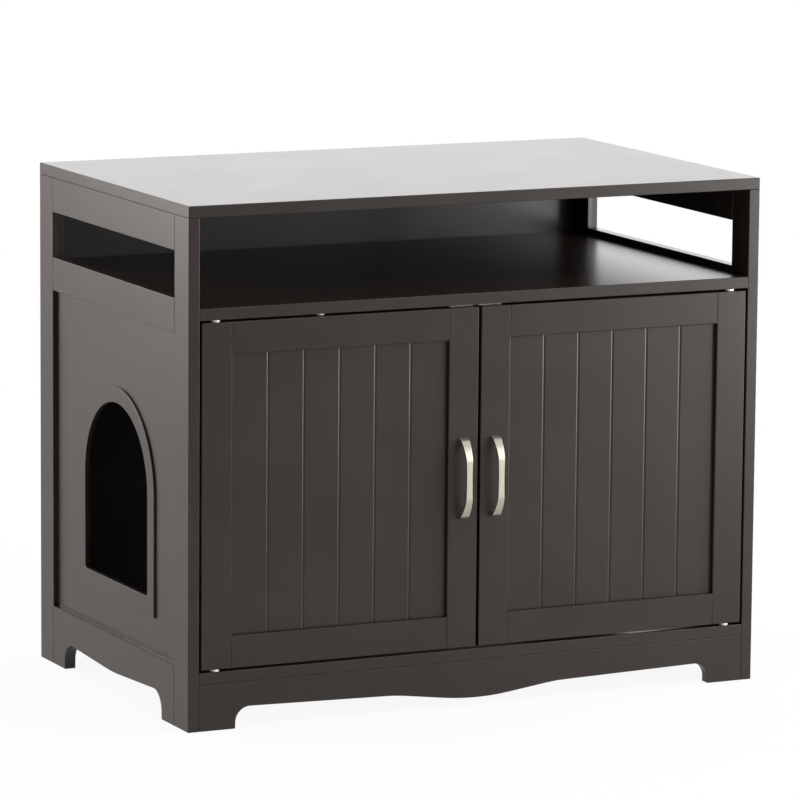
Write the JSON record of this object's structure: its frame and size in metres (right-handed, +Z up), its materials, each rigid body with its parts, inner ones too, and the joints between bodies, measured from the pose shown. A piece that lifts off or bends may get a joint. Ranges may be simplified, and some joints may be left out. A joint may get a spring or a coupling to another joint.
{
  "type": "cat litter box cabinet",
  "caption": "Dark wooden cat litter box cabinet with beadboard double doors, an open shelf under its top and arched cat entrances in its sides.",
  "frame": {"origin": "on the floor, under the middle of the whole outline with its handles", "axes": "+X to the right seen from the front, +Y from the front to the back, +Z up"},
  "size_m": [0.8, 0.515, 0.66],
  "materials": {
    "dark_board": "satin dark laminate on fibreboard",
    "dark_panel": "satin dark laminate on thin hardboard",
    "satin_nickel": "satin nickel plated zinc",
    "zinc_steel": "zinc plated",
    "cast_zinc": "plain cast zinc alloy",
    "white_nylon": "moulded nylon",
    "black_plastic": "moulded plastic",
    "ferrite": "sintered magnet"
  },
  "bodies": {
    "cabinet": {"back_panel_screws": "zinc_steel", "bottom_board": "dark_board", "cam_bolts": "zinc_steel", "cam_locks": "cast_zinc", "catch_magnets": "ferrite", "catch_screws": "zinc_steel", "door_buffer": "white_nylon", "front_apron": "dark_board", "left_arch_trim": "dark_board", "left_bottom_rail": "dark_board", "left_front_post": "dark_board", "left_middle_rail": "dark_board", "left_pivot_bushes": "white_nylon", "left_rear_post": "dark_board", "left_side_panel": "dark_panel", "left_top_rail": "dark_board", "lower_back_panel": "dark_panel", "magnetic_catch_housing": "black_plastic", "right_arch_trim": "dark_board", "right_bottom_rail": "dark_board", "right_front_post": "dark_board", "right_middle_rail": "dark_board", "right_pivot_bushes": "white_nylon", "right_rear_post": "dark_board", "right_side_panel": "dark_panel", "right_top_rail": "dark_board", "shelf": "dark_board", "top_board": "dark_board", "upper_back_panel": "dark_panel"},
    "left_door": {"left_door_bottom_rail": "dark_board", "left_door_hinge_stile": "dark_board", "left_door_meeting_stile": "dark_board", "left_door_panel": "dark_panel", "left_door_top_rail": "dark_board", "left_handle": "satin_nickel", "left_handle_screws": "zinc_steel", "left_pivot_pins": "zinc_steel", "left_strike_plate": "zinc_steel", "left_strike_screws": "zinc_steel"},
    "right_door": {"right_door_bottom_rail": "dark_board", "right_door_hinge_stile": "dark_board", "right_door_meeting_stile": "dark_board", "right_door_panel": "dark_panel", "right_door_top_rail": "dark_board", "right_handle": "satin_nickel", "right_handle_screws": "zinc_steel", "right_pivot_pins": "zinc_steel", "right_strike_plate": "zinc_steel", "right_strike_screws": "zinc_steel"}
  },
  "joints": [
    {"name": "left_door_hinge", "type": "hinge", "parent": "cabinet", "child": "left_door", "pos_m": [-0.3615, -0.23, 0.29575], "axis": [0, 0, -1], "range_deg": [0, 135]},
    {"name": "right_door_hinge", "type": "hinge", "parent": "cabinet", "child": "right_door", "pos_m": [0.3615, -0.23, 0.29575], "axis": [0, 0, 1], "range_deg": [0, 135]}
  ]
}
